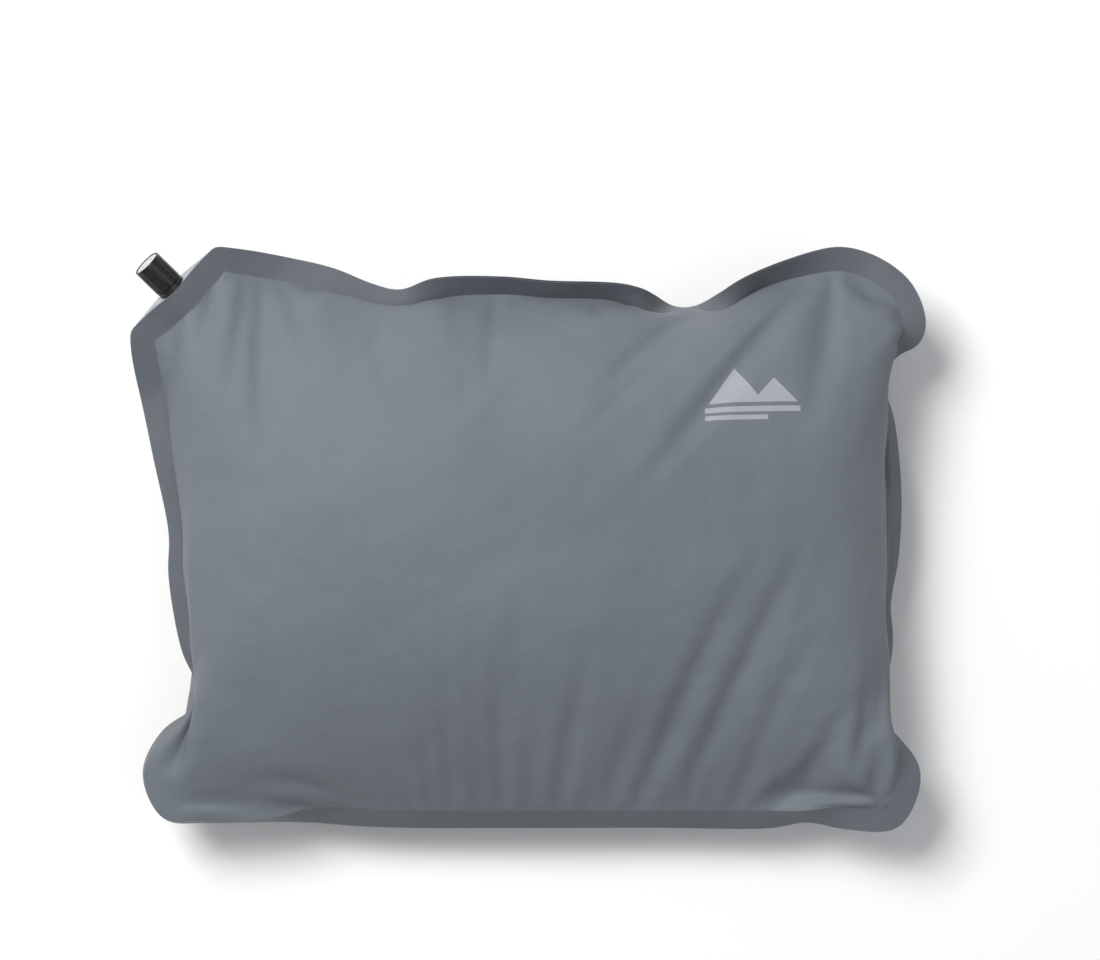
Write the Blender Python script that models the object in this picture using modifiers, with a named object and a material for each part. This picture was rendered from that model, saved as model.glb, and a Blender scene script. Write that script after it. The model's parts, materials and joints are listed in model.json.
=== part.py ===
"""A self-inflating camp pillow: two welded fabric panels over a foam core, with a twist valve in one cut corner.

The pillow lies on its back panel. +X runs along its width, +Y along its depth and +Z through its thickness.
The origin is under the middle of the pillow, on the surface that it lies on. All sizes are in metres.
"""
import math

import bmesh
import bpy
from mathutils import Matrix, Vector

# The body of the pillow
WIDTH = 0.404
DEPTH = 0.297
THICKNESS = 0.090
CORNER_RADIUS = 0.043
VALVE_CUT = 0.043  # each leg of the triangle that the valve corner is cut off by
FLANGE = 0.0125  # the flat welded rim
PULL_BOTTOM = 0.004  # how far the middle of each side is drawn in by the filling
PULL_RIGHT = 0.013
PULL_TOP = 0.017
PULL_LEFT = 0.017
PLATEAU_X = 0.158  # the flat middle that the pillow rests on
PLATEAU_Y = 0.056
DOME_POWER = 1.9  # 2 is an elliptical edge, less is a sharper one

# The sheets
PANEL = 0.0005
SEAM = 0.0003
SEAM_MARGIN = 0.0006  # from each edge of the flange to the fused film
GAP = 0.0003  # between neighbours that touch
FOAM_INSET = 0.007  # from the weld line to the foam's edge
FOAM_GAP = 0.0007  # between the foam and the panels
VALVE_POCKET = 0.022  # how much further the foam stays back from the valve

# How the valve corner curls up
VALVE_TILT = math.radians(20)
CURL_START = 0.030  # from the cut edge to the line where the curl begins
CURL_SOFTNESS = 0.0025

# The valve, measured along its axis from the cut edge of the fabric
BORE_RADIUS = 0.0035
NECK_RADIUS = 0.0050
FOOT_RADIUS = 0.0053
FOOT_LENGTH = 0.0170
BARB_HEIGHT = 0.0004
BARB_COUNT = 3
COLLAR_RADIUS = 0.0075
COLLAR_LENGTH = 0.0025
BOOT_WALL = 0.0006
BOOT_LENGTH = 0.0180
BOOT_WIDTH = 0.040  # across the lens shape that the rims are welded to
WING_MARGIN = 0.0029  # from each wing's tip to the end of the cut edge
WING_DEPTH = 0.0060  # how far the wings reach in between the rims
WING_THICKNESS = 0.0005
WING_PROUD = 0.0020  # how far the wings stick out past the fabric
KNOB_LENGTH = 0.0157
KNOB_BEVEL = 0.0005
KNOB_TRAVEL = 0.0030  # how far it climbs from closed to open
GROOVE_WALL = 0.0007  # what is left of the knob outside the O-ring's groove
RIB_COUNT = 6
RIB_WIDTH = 0.0015
RIB_HEIGHT = 0.0004
SHELF = 0.0011  # the knob's end wall, which the seal sits on
SHELF_ROOM = 0.0008  # between the neck's end and the shelf
SEAL_LENGTH = 0.0021
SEAL_RECESS = 0.0003  # how far the seal's face lies below the knob's rim
RIM_WALL = 0.0007
PLUG_BASE_RADIUS = 0.0042
PLUG_TIP_RADIUS = 0.0028
PLUG_SHAFT_RADIUS = 0.0015
PLUG_SHAFT_LENGTH = 0.0040
FIN_COUNT = 3
FIN_THICKNESS = 0.0010
RING_SECTION = 0.0013
GROOVE_ROOM = 0.0003
THREAD_LEAD = 0.0030
THREAD_HEIGHT = 0.0008
THREAD_ROOT = 0.0014
THREAD_CREST = 0.0008
THREAD_ROOM = 0.0004  # between the thread's crest and the knob
LUG_ROOT = 0.0014
LUG_TIP = 0.0009
LUG_TURN = math.radians(60)
LUG_COUNT = 2

# Mesh fineness
SIDE_STEPS = 4
CURL_STEPS = 3  # over the curled end of a side next to the valve
ARC_STEPS = 3
CUT_STEPS = 8
DOME_SHARES = (0.07, 0.25, 0.58, 1.0)
FOAM_SHARES = (0.0, 0.12, 0.40, 0.72, 1.0)
PLATEAU_SHARE = 0.5  # the inner ring of the flat middle
LENS_STEPS = 20
TURN_STEPS = 36
THREAD_STEP = math.radians(10)
MERGE = 0.00005

MID_HEIGHT = THICKNESS / 2
FLANGE_HALF = SEAM / 2 + GAP + PANEL
DOME_RISE = THICKNESS / 2 - FLANGE_HALF
BOOT_BORE = FOOT_RADIUS + BARB_HEIGHT + GAP
BOOT_RADIUS = BOOT_BORE + BOOT_WALL
MOUTH_RISE = BOOT_RADIUS + 2 * GAP  # how far the flange opens over the boot
GROOVE_RADIUS = NECK_RADIUS + 2 * GAP + RING_SECTION
KNOB_RADIUS = GROOVE_RADIUS + GROOVE_WALL
CAVITY_RADIUS = NECK_RADIUS + THREAD_HEIGHT + THREAD_ROOM
KNOB_START = GAP + COLLAR_LENGTH + GAP
KNOB_END = KNOB_START + KNOB_LENGTH
SEAL_START = KNOB_END - SEAL_RECESS - SEAL_LENGTH
SEAL_RADIUS = KNOB_RADIUS - RIM_WALL - GAP
SHELF_END = SEAL_START - GAP
SHELF_START = SHELF_END - SHELF
NECK_END = SHELF_START - SHELF_ROOM
PLUG_BASE = NECK_END + GAP
PLUG_TIP = KNOB_END - SEAL_RECESS
RING_HEIGHT = NECK_END - KNOB_TRAVEL - RING_SECTION / 2 - GAP
GROOVE_HALF = RING_SECTION / 2 + GROOVE_ROOM
THREAD_START = KNOB_START + LUG_ROOT / 2 + GAP
THREAD_END = RING_HEIGHT - GROOVE_HALF - THREAD_ROOT / 2


def clear_scene():
    for old in list(bpy.data.objects):
        bpy.data.objects.remove(old)


def new_collection(name):
    collection = bpy.data.collections.new(name)
    bpy.context.scene.collection.children.link(collection)
    return collection


def make_material(name, colour, roughness, alpha=1.0):
    material = bpy.data.materials.new(name)
    material.use_nodes = True
    shader = material.node_tree.nodes["Principled BSDF"]
    shader.inputs["Base Color"].default_value = (*colour, 1.0)
    shader.inputs["Roughness"].default_value = roughness
    shader.inputs["Metallic"].default_value = 0.0
    shader.inputs["Alpha"].default_value = alpha
    return material


def add_object(name, mesh, collection, material=None, parent=None):
    item = bpy.data.objects.new(name, mesh)
    collection.objects.link(item)
    item.parent = parent
    if material:
        mesh.materials.append(material)
    return item


def mark_cutter(item):
    """A helper shape that other objects' Boolean modifiers use."""
    item.hide_render = True
    item.display_type = "WIRE"
    return item


def shade(item, angle=math.radians(35)):
    item.data.shade_smooth()
    item.data.set_sharp_from_angle(angle=angle)
    return item


def add_boolean(item, other, operation):
    modifier = item.modifiers.new(operation.title(), "BOOLEAN")
    modifier.operation = operation
    modifier.object = other


# ---- The pillow's outline and height ----


def even_shares():
    return [step / SIDE_STEPS for step in range(SIDE_STEPS)]


def curled_shares(length):
    """Closer steps over the curled end of a side, then even ones."""
    curled = CURL_START * math.sqrt(2) / length
    shares = [curled * step / CURL_STEPS for step in range(CURL_STEPS)]
    return shares + [curled + (1 - curled) * share for share in even_shares()]


def side_points(start, end, pull, shares):
    """The points from start up to end, drawn in to their left by pull at the middle."""
    along = end - start
    inward = Vector((-along.y, along.x)).normalized()
    return [start + along * t + inward * pull * math.sin(math.pi * t) ** 2 for t in shares]


def arc_points(centre, start_angle):
    """A quarter turn round centre, without its last point."""
    points = []
    for step in range(ARC_STEPS):
        angle = start_angle + math.pi / 2 * step / ARC_STEPS
        points.append(centre + CORNER_RADIUS * Vector((math.cos(angle), math.sin(angle))))
    return points


def outline():
    """The rim, anticlockwise from the lower end of the cut corner."""
    x, y, r = WIDTH / 2, DEPTH / 2, CORNER_RADIUS
    cut_top = Vector((-x + VALVE_CUT, y))
    cut_left = Vector((-x, y - VALVE_CUT))
    left_end = Vector((-x, -y + r))
    top_start = Vector((x - r, y))
    left_shares = curled_shares((left_end - cut_left).length)
    top_shares = [1 - t for t in reversed(curled_shares((cut_top - top_start).length))]
    points = side_points(cut_left, left_end, PULL_LEFT, left_shares)
    points += arc_points(Vector((-x + r, -y + r)), math.pi)
    points += side_points(Vector((-x + r, -y)), Vector((x - r, -y)), PULL_BOTTOM, even_shares())
    points += arc_points(Vector((x - r, -y + r)), -math.pi / 2)
    points += side_points(Vector((x, -y + r)), Vector((x, y - r)), PULL_RIGHT, even_shares())
    points += arc_points(Vector((x - r, y - r)), 0)
    points += side_points(top_start, cut_top, PULL_TOP, [0, *top_shares])
    points += [cut_top.lerp(cut_left, step / CUT_STEPS) for step in range(1, CUT_STEPS)]
    return points


def fitted(points):
    """The outline stretched so that its subdivided rim spans exactly WIDTH by DEPTH."""
    smooth = []
    for index, point in enumerate(points):
        following = points[(index + 1) % len(points)]
        smooth.append(0.75 * point + 0.125 * (points[index - 1] + following))
        smooth.append((point + following) / 2)
    for axis, size in ((0, WIDTH), (1, DEPTH)):
        low = min(point[axis] for point in smooth)
        high = max(point[axis] for point in smooth)
        for point in points:
            point[axis] = (point[axis] - (low + high) / 2) * size / (high - low)
    return points


def inset(points, distances):
    """The closed outline moved in by the distance given for each of its points."""
    moved = []
    for index, point in enumerate(points):
        before = (point - points[index - 1]).normalized()
        after = (points[(index + 1) % len(points)] - point).normalized()
        normal = Vector((-before.y - after.y, before.x + after.x)).normalized()
        stretch = normal.dot(Vector((-after.y, after.x)))
        moved.append(point + normal * distances[index] / stretch)
    return moved


def scaled(points, width, depth):
    """The outline shrunk to the given width and depth."""
    return [Vector((p.x * width / WIDTH, p.y * depth / DEPTH)) for p in points]


def blended(outer, inner, share):
    return [a.lerp(b, share) for a, b in zip(outer, inner)]


RIM = fitted(outline())
CUT_TOP = RIM[-CUT_STEPS]
CUT_LEFT = RIM[0]
CUT_MIDDLE = (CUT_TOP + CUT_LEFT) / 2
CUT_HALF = (CUT_TOP - CUT_LEFT).length / 2
CUT_ALONG = (CUT_TOP - CUT_LEFT).normalized()
CUT_OUTWARD = Vector((-CUT_ALONG.y, CUT_ALONG.x))


def curl(point):
    """How far the middle surface is lifted at a point near the valve corner, and how far it tilts."""
    beyond = ((point - CUT_MIDDLE).dot(CUT_OUTWARD) + CURL_START) / CURL_SOFTNESS
    lift = math.tan(VALVE_TILT) * CURL_SOFTNESS * math.log1p(math.exp(beyond))
    return lift, VALVE_TILT / (1 + math.exp(-beyond))


def mouth(point):
    """How far each panel stands off the middle surface to go over the valve boot."""
    outward = (point - CUT_MIDDLE).dot(CUT_OUTWARD)
    lateral = (point - CUT_MIDDLE).dot(CUT_ALONG) / CUT_HALF
    fade = min(1, max(0, 2 + outward / BOOT_LENGTH))
    return MOUTH_RISE * max(0, 1 - lateral * lateral) ** 6 * fade


def dome(share, rise):
    """The height of the filling at a share of the way from the weld line to the flat middle."""
    return rise * (1 - (1 - share) ** DOME_POWER) ** (1 / DOME_POWER)


def ring_at(points, heights, side):
    """Points at given heights on one side of the middle surface, square to it."""
    ring = []
    for point, height in zip(points, heights):
        lift, tilt = curl(point)
        flat = point - CUT_OUTWARD * side * height * math.sin(tilt)
        ring.append((flat.x, flat.y, MID_HEIGHT + lift + side * height * math.cos(tilt)))
    return ring


# ---- The soft pieces ----


def loft(name, rings, closed, cap_first, cap_last):
    """A mesh with a band of faces between each two neighbouring rings."""
    work = bmesh.new()
    rows = [[work.verts.new(co) for co in ring] for ring in rings]
    for lower, upper in zip(rows, rows[1:]):
        for index in range(len(lower) - (0 if closed else 1)):
            following = (index + 1) % len(lower)
            work.faces.new((lower[index], lower[following], upper[following], upper[index]))
    if cap_first:
        work.faces.new(list(reversed(rows[0])))
    if cap_last:
        work.faces.new(rows[-1])
    mesh = bpy.data.meshes.new(name)
    work.to_mesh(mesh)
    work.free()
    return mesh


def add_subdivision(item):
    modifier = item.modifiers.new("Subdivision", "SUBSURF")
    modifier.levels = 1
    modifier.render_levels = 1


def add_thickness(item, thickness, offset):
    modifier = item.modifiers.new("Thickness", "SOLIDIFY")
    modifier.thickness = thickness
    modifier.offset = offset
    modifier.use_even_offset = True


def panel_rings(side):
    """The outer surface of a panel: the flange, the dome and the edge of the flat middle."""
    weld = inset(RIM, [FLANGE] * len(RIM))
    plateau = scaled(RIM, PLATEAU_X, PLATEAU_Y)
    rings = []
    for points in (RIM, weld):
        rings.append(ring_at(points, [FLANGE_HALF + mouth(p) for p in points], side))
    for share in DOME_SHARES:
        points = blended(weld, plateau, share)
        heights = [FLANGE_HALF + math.hypot(mouth(p), dome(share, DOME_RISE)) for p in points]
        rings.append(ring_at(points, heights, side))
    middle = blended(plateau, [Vector((0, 0))] * len(RIM), PLATEAU_SHARE)
    rings.append(ring_at(middle, [FLANGE_HALF + DOME_RISE] * len(RIM), side))
    return rings


def make_panel(name, side, collection, material):
    mesh = loft(name, panel_rings(side), closed=True, cap_first=False, cap_last=True)
    if side < 0:
        mesh.flip_normals()
    panel = add_object(name, mesh, collection, material)
    add_subdivision(panel)
    add_thickness(panel, PANEL, offset=-1)
    return shade(panel)


def make_foam_core(collection, material):
    depths = []
    for point in RIM:
        nearness = max(0, 1 + (point - CUT_MIDDLE).dot(CUT_OUTWARD) / CUT_HALF)
        depths.append(FLANGE + FOAM_INSET + VALVE_POCKET * nearness)
    edge = inset(RIM, depths)
    plateau = scaled(RIM, PLATEAU_X, PLATEAU_Y)
    rise = DOME_RISE - PANEL - FOAM_GAP
    rings = []
    for side, shares in ((-1, FOAM_SHARES[::-1]), (1, FOAM_SHARES)):
        for share in shares:
            points = blended(edge, plateau, share)
            height = FLANGE_HALF + dome(share, rise)
            rings.append([(p.x, p.y, MID_HEIGHT + side * height) for p in points])
    mesh = loft("foam_core", rings, closed=True, cap_first=True, cap_last=True)
    core = add_object("foam_core", mesh, collection, material)
    add_subdivision(core)
    return shade(core)


def make_weld_seam(collection, material):
    """The fused film runs round the flange from one end of the cut corner to the other."""
    rings = []
    for depth in (SEAM_MARGIN, FLANGE / 2, FLANGE - SEAM_MARGIN):
        line = inset(RIM, [depth] * len(RIM))[: 1 - CUT_STEPS]
        rings.append(ring_at(line, [0] * len(line), 1))
    mesh = loft("weld_seam", rings, closed=False, cap_first=False, cap_last=False)
    seam = add_object("weld_seam", mesh, collection, material)
    add_subdivision(seam)
    add_thickness(seam, SEAM, offset=0)
    return shade(seam)


# ---- The valve ----


def make_valve_axis(collection):
    """An empty at the middle of the cut edge: its Z is the valve's axis, its X runs along the cut."""
    along = Vector((CUT_ALONG.x, CUT_ALONG.y, 0))
    outward = Vector((CUT_OUTWARD.x, CUT_OUTWARD.y, 0))
    axis = outward * math.cos(VALVE_TILT) + Vector((0, 0, math.sin(VALVE_TILT)))
    turn = Matrix((along, axis.cross(along), axis)).transposed()
    place = Vector((CUT_MIDDLE.x, CUT_MIDDLE.y, MID_HEIGHT + curl(CUT_MIDDLE)[0]))
    empty = bpy.data.objects.new("valve_axis", None)
    collection.objects.link(empty)
    empty.matrix_world = Matrix.Translation(place) @ turn.to_4x4()
    return empty


def turned(name, profile, collection, material, parent, closed=True):
    """A profile of (radius, height) points, down its outer side, turned round the axis."""
    mesh = bpy.data.meshes.new(name)
    edges = [(index, index + 1) for index in range(len(profile) - 1)]
    if closed:
        edges.append((len(profile) - 1, 0))
    mesh.from_pydata([(radius, 0, height) for radius, height in profile], edges, [])
    item = add_object(name, mesh, collection, material, parent)
    modifier = item.modifiers.new("Turn", "SCREW")
    modifier.axis = "Z"
    modifier.steps = TURN_STEPS
    modifier.render_steps = TURN_STEPS
    modifier.use_merge_vertices = True
    modifier.merge_threshold = MERGE
    return item


def helix(name, start, turn_range, inner, outer, inner_width, outer_width, collection, parent):
    """A ridge along a right-handed helix, at the height start where its angle is zero.

    It is turned by half a facet, so that its corners miss the edges of the round that it joins.
    """
    steps = max(2, round((turn_range[1] - turn_range[0]) / THREAD_STEP))
    rings = []
    for step in range(steps + 1):
        angle = turn_range[0] + (turn_range[1] - turn_range[0]) * step / steps
        height = start + THREAD_LEAD * angle / math.tau
        corners = (
            (inner, -inner_width / 2),
            (outer, -outer_width / 2),
            (outer, outer_width / 2),
            (inner, inner_width / 2),
        )
        turn = angle + math.pi / TURN_STEPS
        rings.append([(r * math.cos(turn), r * math.sin(turn), height + h) for r, h in corners])
    mesh = loft(name, rings, closed=True, cap_first=True, cap_last=True)
    return mark_cutter(add_object(name, mesh, collection, parent=parent))


def make_box(name, low, high, turn, collection, parent):
    """A box between two corners, turned round the valve's axis."""
    work = bmesh.new()
    size = [b - a for a, b in zip(low, high)]
    middle = [(a + b) / 2 for a, b in zip(low, high)]
    place = Matrix.Rotation(turn, 4, "Z") @ Matrix.Translation(middle) @ Matrix.Diagonal((*size, 1))
    bmesh.ops.create_cube(work, size=1, matrix=place)
    mesh = bpy.data.meshes.new(name)
    work.to_mesh(mesh)
    work.free()
    return mark_cutter(add_object(name, mesh, collection, parent=parent))


def plate(name, outlines, thickness, collection, parent):
    """A flat mesh, drawn as closed outlines in its own XY plane; inner outlines are holes."""
    curve = bpy.data.curves.new(name, "CURVE")
    curve.dimensions = "2D"
    curve.fill_mode = "BOTH"
    curve.extrude = thickness / 2
    for points in outlines:
        spline = curve.splines.new("POLY")
        spline.points.add(len(points) - 1)
        for slot, (x, y) in zip(spline.points, points):
            slot.co = (x, y, 0, 1)
        spline.use_cyclic_u = True
    flat = add_object(f"{name}_outline", curve, collection)
    mesh = bpy.data.meshes.new_from_object(flat.evaluated_get(bpy.context.evaluated_depsgraph_get()))
    bpy.data.objects.remove(flat)
    work = bmesh.new()
    work.from_mesh(mesh)
    bmesh.ops.remove_doubles(work, verts=work.verts, dist=MERGE)
    bmesh.ops.recalc_face_normals(work, faces=work.faces)
    work.to_mesh(mesh)
    work.free()
    return add_object(name, mesh, collection, parent=parent)


def make_valve_boot(collection, cutters, material, parent):
    """A lens-shaped sleeve, with flat wings that show past the cut edge on both sides of the collar."""
    half = BOOT_WIDTH / 2
    thin = WING_THICKNESS / 2
    lens = []
    for step in range(LENS_STEPS + 1):
        lateral = half * math.cos(math.pi * step / LENS_STEPS)
        lens.append((lateral, thin + (BOOT_RADIUS - thin) * (1 - (lateral / half) ** 2) ** 4))
    lens += [(-lateral, -height) for lateral, height in lens]
    angles = [math.tau * step / TURN_STEPS for step in range(TURN_STEPS)]
    bore = [(BOOT_BORE * math.cos(a), BOOT_BORE * math.sin(a)) for a in angles]
    boot = plate("valve_boot", (lens, bore), BOOT_LENGTH, collection, parent)
    boot.location = (0, 0, -BOOT_LENGTH / 2)
    boot.data.materials.append(material)
    near = COLLAR_RADIUS + GAP
    for side, name in ((-1, "wing_left"), (1, "wing_right")):
        corners = [
            (side * near, -WING_DEPTH),
            (side * (CUT_HALF - WING_MARGIN - WING_DEPTH / 2), -WING_DEPTH),
            (side * (CUT_HALF - WING_MARGIN), 0),
            (side * near, WING_PROUD),
        ]
        wing = mark_cutter(plate(name, (corners,), WING_THICKNESS, cutters, parent))
        wing.rotation_euler = (math.pi / 2, 0, 0)
        add_boolean(boot, wing, "UNION")
    return shade(boot)


def make_valve_stem(collection, cutters, material, parent):
    """The barbed foot, the collar against the fabric and the threaded neck, round one bore."""
    profile = [
        (BORE_RADIUS, NECK_END),
        (NECK_RADIUS, NECK_END),
        (NECK_RADIUS, GAP + COLLAR_LENGTH),
        (COLLAR_RADIUS, GAP + COLLAR_LENGTH),
        (COLLAR_RADIUS, GAP),
        (FOOT_RADIUS, GAP),
    ]
    barb = FOOT_LENGTH / BARB_COUNT
    for index in range(BARB_COUNT):
        top = -barb * (index + 0.4)
        profile.append((FOOT_RADIUS, top))
        profile.append((FOOT_RADIUS + BARB_HEIGHT, top))
        profile.append((FOOT_RADIUS, top - barb / 2))
    profile.append((FOOT_RADIUS, -FOOT_LENGTH))
    profile.append((BORE_RADIUS, -FOOT_LENGTH))
    stem = turned("valve_stem", profile, collection, material, parent)
    embed = NECK_RADIUS - GAP
    ridge = helix(
        "thread_ridge",
        THREAD_START,
        (0, math.tau * (THREAD_END - THREAD_START) / THREAD_LEAD),
        embed,
        NECK_RADIUS + THREAD_HEIGHT,
        THREAD_ROOT,
        THREAD_CREST,
        cutters,
        parent,
    )
    add_boolean(stem, ridge, "UNION")
    return shade(stem)


def plug_radius(height):
    share = (height - PLUG_BASE) / (PLUG_TIP - PLUG_BASE)
    return PLUG_BASE_RADIUS + (PLUG_TIP_RADIUS - PLUG_BASE_RADIUS) * share


def make_valve_plug(collection, cutters, material, parent):
    """A cone that closes the mouth, on a shaft with fins that stand in the stem's bore."""
    foot = PLUG_BASE - PLUG_SHAFT_LENGTH
    profile = [
        (0, PLUG_TIP),
        (PLUG_TIP_RADIUS, PLUG_TIP),
        (PLUG_BASE_RADIUS, PLUG_BASE),
        (PLUG_SHAFT_RADIUS, PLUG_BASE),
        (PLUG_SHAFT_RADIUS, foot),
        (0, foot),
    ]
    plug = turned("valve_plug", profile, collection, material, parent, closed=False)
    for index in range(FIN_COUNT):
        fin = make_box(
            f"plug_fin_{index}",
            (0, -FIN_THICKNESS / 2, foot + GAP),
            (BORE_RADIUS - GAP, FIN_THICKNESS / 2, PLUG_BASE - 2 * GAP),
            math.tau * index / FIN_COUNT,
            cutters,
            parent,
        )
        add_boolean(plug, fin, "UNION")
    return shade(plug)


def make_valve_cap(collection, cutters, material, parent):
    """The twist knob: a sleeve over the neck with a groove, a shelf for the seal, ribs and thread lugs."""
    seal_wall = SEAL_RADIUS + GAP
    profile = [
        (seal_wall, KNOB_END),
        (KNOB_RADIUS - KNOB_BEVEL, KNOB_END),
        (KNOB_RADIUS, KNOB_END - KNOB_BEVEL),
        (KNOB_RADIUS, KNOB_START),
        (CAVITY_RADIUS, KNOB_START),
        (CAVITY_RADIUS, RING_HEIGHT - GROOVE_HALF),
        (GROOVE_RADIUS, RING_HEIGHT - GROOVE_HALF),
        (GROOVE_RADIUS, RING_HEIGHT + GROOVE_HALF),
        (CAVITY_RADIUS, RING_HEIGHT + GROOVE_HALF),
        (CAVITY_RADIUS, SHELF_START),
        (PLUG_BASE_RADIUS + 2 * GAP, SHELF_START),
        (PLUG_BASE_RADIUS + 2 * GAP, SHELF_END),
        (seal_wall, SHELF_END),
    ]
    cap = turned("valve_cap", profile, collection, material, parent)
    for index in range(RIB_COUNT):
        rib = make_box(
            f"knob_rib_{index}",
            (KNOB_RADIUS - 2 * GAP, -RIB_WIDTH / 2, KNOB_START + KNOB_BEVEL),
            (KNOB_RADIUS + RIB_HEIGHT, RIB_WIDTH / 2, KNOB_END - 2 * KNOB_BEVEL),
            math.tau * (index + 0.5) / RIB_COUNT,
            cutters,
            parent,
        )
        add_boolean(cap, rib, "UNION")
    for index in range(LUG_COUNT):
        first = math.tau * index / LUG_COUNT
        lug = helix(
            f"thread_lug_{index}",
            THREAD_START + THREAD_LEAD * (0.5 - index),
            (first, first + LUG_TURN),
            NECK_RADIUS + GAP,
            CAVITY_RADIUS + GAP,
            LUG_TIP,
            LUG_ROOT,
            cutters,
            parent,
        )
        add_boolean(cap, lug, "UNION")
    return shade(cap)


def make_mouth_seal(collection, material, parent):
    """The soft ring in the knob's end, with a cone that meets the plug."""
    end = SEAL_START + SEAL_LENGTH
    profile = [
        (plug_radius(end) + GAP, end),
        (SEAL_RADIUS, end),
        (SEAL_RADIUS, SEAL_START),
        (plug_radius(SEAL_START) + GAP, SEAL_START),
    ]
    return shade(turned("mouth_seal", profile, collection, material, parent))


def make_cap_o_ring(collection, material, parent):
    bpy.ops.mesh.primitive_torus_add(
        major_segments=TURN_STEPS,
        minor_segments=8,
        major_radius=NECK_RADIUS + GAP + RING_SECTION / 2,
        minor_radius=RING_SECTION / 2,
    )
    ring = bpy.context.object
    ring.name = "cap_o_ring"
    for owner in list(ring.users_collection):
        owner.objects.unlink(ring)
    collection.objects.link(ring)
    ring.data.materials.append(material)
    ring.parent = parent
    ring.location = (0, 0, RING_HEIGHT)
    return shade(ring)


def build():
    clear_scene()
    parts = new_collection("camp_pillow")
    cutters = new_collection("cutters")
    fabric = make_material("coated_fabric", (0.165, 0.187, 0.215), 0.62)
    film = make_material("fused_film", (0.70, 0.72, 0.74), 0.40, alpha=0.6)
    foam = make_material("open_cell_foam", (0.80, 0.74, 0.56), 0.95)
    black = make_material("black_plastic", (0.012, 0.012, 0.013), 0.30)
    natural = make_material("natural_plastic", (0.82, 0.83, 0.82), 0.35)
    soft = make_material("clear_soft_plastic", (0.80, 0.82, 0.83), 0.30, alpha=0.6)
    rubber = make_material("black_rubber", (0.015, 0.015, 0.015), 0.60)

    make_panel("front_panel", 1, parts, fabric)
    make_panel("back_panel", -1, parts, fabric)
    make_weld_seam(parts, film)
    make_foam_core(parts, foam)

    valve = make_valve_axis(parts)
    make_valve_boot(parts, cutters, soft, valve)
    make_valve_stem(parts, cutters, black, valve)
    make_valve_plug(parts, cutters, natural, valve)
    make_cap_o_ring(parts, rubber, valve)
    make_valve_cap(parts, cutters, black, valve)
    make_mouth_seal(parts, soft, valve)


build()
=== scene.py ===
"""The looks of the camp pillow, built round its CAD part."""

import json
import math

import bmesh
import bpy
import numpy as np
from mathutils import Matrix, Vector


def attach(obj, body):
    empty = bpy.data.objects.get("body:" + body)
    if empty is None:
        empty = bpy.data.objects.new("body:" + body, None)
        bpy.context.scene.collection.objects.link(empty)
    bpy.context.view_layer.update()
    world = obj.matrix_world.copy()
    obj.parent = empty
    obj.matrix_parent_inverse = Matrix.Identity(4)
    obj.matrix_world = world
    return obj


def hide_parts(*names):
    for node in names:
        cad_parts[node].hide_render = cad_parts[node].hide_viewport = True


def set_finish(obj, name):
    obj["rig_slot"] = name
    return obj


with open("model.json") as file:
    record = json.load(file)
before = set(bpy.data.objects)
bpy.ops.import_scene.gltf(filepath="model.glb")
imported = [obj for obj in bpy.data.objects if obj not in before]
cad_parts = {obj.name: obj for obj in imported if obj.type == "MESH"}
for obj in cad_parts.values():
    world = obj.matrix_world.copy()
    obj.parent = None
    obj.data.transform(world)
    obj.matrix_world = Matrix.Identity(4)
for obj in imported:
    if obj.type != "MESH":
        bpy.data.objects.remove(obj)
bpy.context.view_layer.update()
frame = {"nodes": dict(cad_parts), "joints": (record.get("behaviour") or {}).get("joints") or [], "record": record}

# ---- Sizes, in metres ----
FLAT_WIDTH = 0.424  # the cloth as cut, before the pillow fills
FLAT_DEPTH = 0.3135
FLAT_RADIUS = 0.0445
FLAT_CUT = 0.0445  # each leg of the triangle that the valve corner is cut off by
FLANGE = 0.0125  # the flat welded rim
MIDDLE = 0.045  # the height of the weld line
CLOTH = 0.0003
FLANGE_HALF = 0.0006  # from the middle of the rim to the outside of each cover
RISE = 0.042  # where the covers start before the pressure shapes them
FLOOR = 0.0002  # the lowest that the back cover lies
TOP = 0.0905  # the highest that the front cover stands
FLATTENING = 0.003  # over how much height a cover settles against either limit
WELD_CREASE = 0.7  # how sharply the cloth turns at the weld line, from 0 to 1
FOAM_GAP = 0.0016
FOAM_INSET = 9  # rows of the covers' grid from the weld line to the foam
FILM_HALF = 0.0001

# ---- The cloth simulation, in frames ----
MOVE_FRAMES = 20  # the rim goes from its flat outline to its filled one
FRAMES = 60

# ---- The valve's place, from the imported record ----
TWIST = next(j for j in frame["joints"] if j["name"] == "cap_twist")
VALVE = Vector(TWIST["pos_m"])
AXIS = Vector(TWIST["axis"]).normalized()
TILT = math.asin(AXIS.z)
OUTWARD = np.array([AXIS.x, AXIS.y]) / math.hypot(AXIS.x, AXIS.y)
ALONG = np.array([OUTWARD[1], -OUTWARD[0]])
ACROSS = AXIS.cross(Vector((*ALONG, 0)))
CUT_MIDDLE = np.array([VALVE.x, VALVE.y])
CUT_HALF = 0.0304
CURL_START = 0.030  # the rim curls up over this much before the cut edge
CURL_SOFTNESS = 0.0025
MOUTH_RISE = 0.0072  # how far each cover opens over the valve's boot
BOOT_LENGTH = 0.018
VALVE_REACH = 0.036  # how far in from the cut the covers are kept off the valve
VALVE_FADE = 0.012  # over how much of that they come back
VALVE_ROOM = 0.0080  # how far off its axis they are kept
VALVE_SOFTNESS = 0.0008
VALVE_POCKET = 0.042  # from the cut edge to the foam
POCKET_WIDTH = 0.035

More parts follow.
